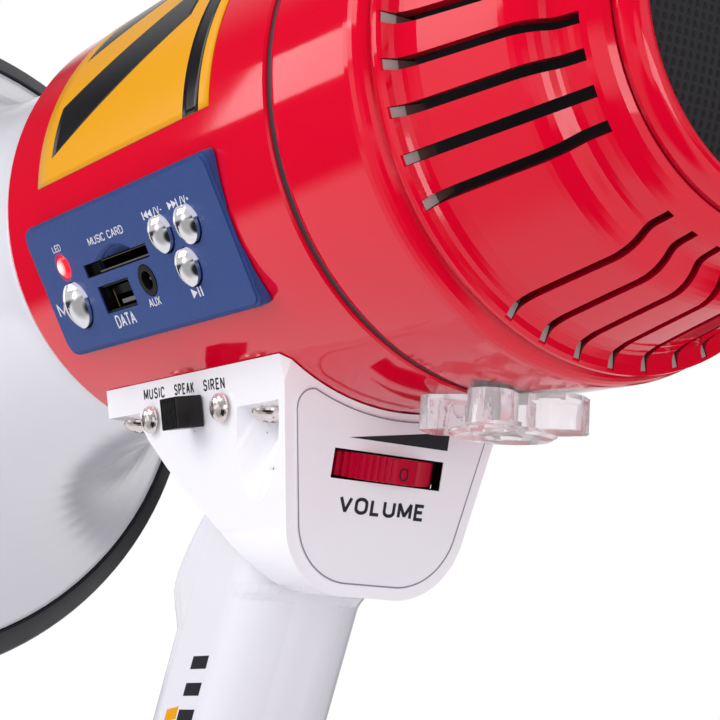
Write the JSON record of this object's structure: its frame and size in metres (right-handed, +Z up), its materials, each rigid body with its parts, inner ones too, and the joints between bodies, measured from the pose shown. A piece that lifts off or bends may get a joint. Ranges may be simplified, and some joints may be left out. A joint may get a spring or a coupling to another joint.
{
  "type": "handheld megaphone",
  "caption": "Handheld megaphone: white flared horn with rubber rim, red barrel with music panel and slotted microphone cap, white trigger grip and clear turn latch.",
  "frame": {"origin": "middle of the length and width, level with the foot of the grip", "axes": "+X out of the horn along the barrel, +Y towards the side with the music panel, +Z up from the grip to the barrel"},
  "size_m": [0.3898, 0.224, 0.284],
  "materials": {
    "white_gloss": "smooth gloss white moulding",
    "black_rubber": "satin black rubber",
    "grey_rubber": "dark grey rubber",
    "dark_plastic": "matte dark plastic",
    "steel": "plated steel",
    "amber_film": "formed amber film",
    "red_gloss": "high gloss red moulding",
    "black_mesh": "fine woven black mesh",
    "black_foam": "open black foam",
    "cell_wrap": "wrapped dry cell",
    "board_green": "green circuit board",
    "blue_plastic": "fine textured blue plastic",
    "black_plastic": "black plastic",
    "lamp_red": "lit red indicator lamp",
    "chrome": "polished chrome",
    "screw_nickel": "nickel plated steel",
    "label_grey": "light grey printed label",
    "wheel_red": "red moulded thumbwheel",
    "trigger_white": "smooth white moulding",
    "clear_plastic": "clear moulded plastic"
  },
  "bodies": {
    "megaphone": {"horn_bell": "white_gloss", "horn_rim": "black_rubber", "sound_reflector": "white_gloss", "throat_tube": "dark_plastic", "driver_magnet": "steel", "driver_dome": "amber_film", "front_shell": "red_gloss", "seam_ring": "grey_rubber", "rear_shell": "red_gloss", "lip_ring": "red_gloss", "mic_mesh": "black_mesh", "mic_foam": "black_foam", "mic_capsule": "steel", "battery_tray": "dark_plastic", "battery_cells": "cell_wrap", "battery_contacts": "steel", "amp_board": "board_green", "amp_parts": "dark_plastic", "panel_plate": "blue_plastic", "panel_board": "board_green", "data_socket": "steel", "card_socket": "steel", "aux_jack": "black_plastic", "status_lamp": "lamp_red", "tact_switches": "black_plastic", "handle_housing": "white_gloss", "saddle_screws": "screw_nickel", "volume_label": "label_grey", "volume_control": "dark_plastic", "switch_body": "dark_plastic", "switch_screws": "chrome", "grip": "white_gloss", "trigger_pin": "steel", "trigger_spring": "steel", "trigger_switch": "dark_plastic", "latch_screw": "screw_nickel"},
    "trigger": {"trigger": "trigger_white"},
    "volume_wheel": {"volume_wheel": "wheel_red"},
    "switch_knob": {"switch_knob": "black_plastic"},
    "button_previous": {"button_previous": "chrome"},
    "button_next": {"button_next": "chrome"},
    "button_play": {"button_play": "chrome"},
    "button_mode": {"button_mode": "chrome"},
    "latch_knob": {"latch_knob": "clear_plastic"}
  },
  "joints": [
    {"name": "trigger_squeeze", "type": "hinge", "parent": "megaphone", "child": "trigger", "pos_m": [-0.04667, 0, 0.07378], "axis": [0, 1, 0], "range_deg": [0, 5], "stiffness_Nm_per_rad": 2.4, "springref_deg": -3.44, "deforming": ["trigger_spring"]},
    {"name": "volume_turn", "type": "hinge", "parent": "megaphone", "child": "volume_wheel", "pos_m": [-0.09114, 0, 0.11561], "axis": [-0.1736, 0, 0.9848], "range_deg": [0, 270]},
    {"name": "source_slide", "type": "slide", "parent": "megaphone", "child": "switch_knob", "axis": [1, 0, 0], "range_m": [0, 0.0074]},
    {"name": "latch_turn", "type": "hinge", "parent": "megaphone", "child": "latch_knob", "pos_m": [-0.136, 0, 0.12], "axis": [0, 0, 1], "range_deg": [0, 90]},
    {"name": "press_previous", "type": "slide", "parent": "megaphone", "child": "button_previous", "axis": [0, -0.8695, 0.4939], "range_m": [0, 0.0008], "stiffness_N_per_m": 1600, "springref_m": -0.0004},
    {"name": "press_next", "type": "slide", "parent": "megaphone", "child": "button_next", "axis": [0, -0.8695, 0.4939], "range_m": [0, 0.0008], "stiffness_N_per_m": 1600, "springref_m": -0.0004},
    {"name": "press_play", "type": "slide", "parent": "megaphone", "child": "button_play", "axis": [0, -0.8695, 0.4939], "range_m": [0, 0.0008], "stiffness_N_per_m": 1600, "springref_m": -0.0004},
    {"name": "press_mode", "type": "slide", "parent": "megaphone", "child": "button_mode", "axis": [0, -0.8695, 0.4939], "range_m": [0, 0.0008], "stiffness_N_per_m": 1600, "springref_m": -0.0004}
  ]
}
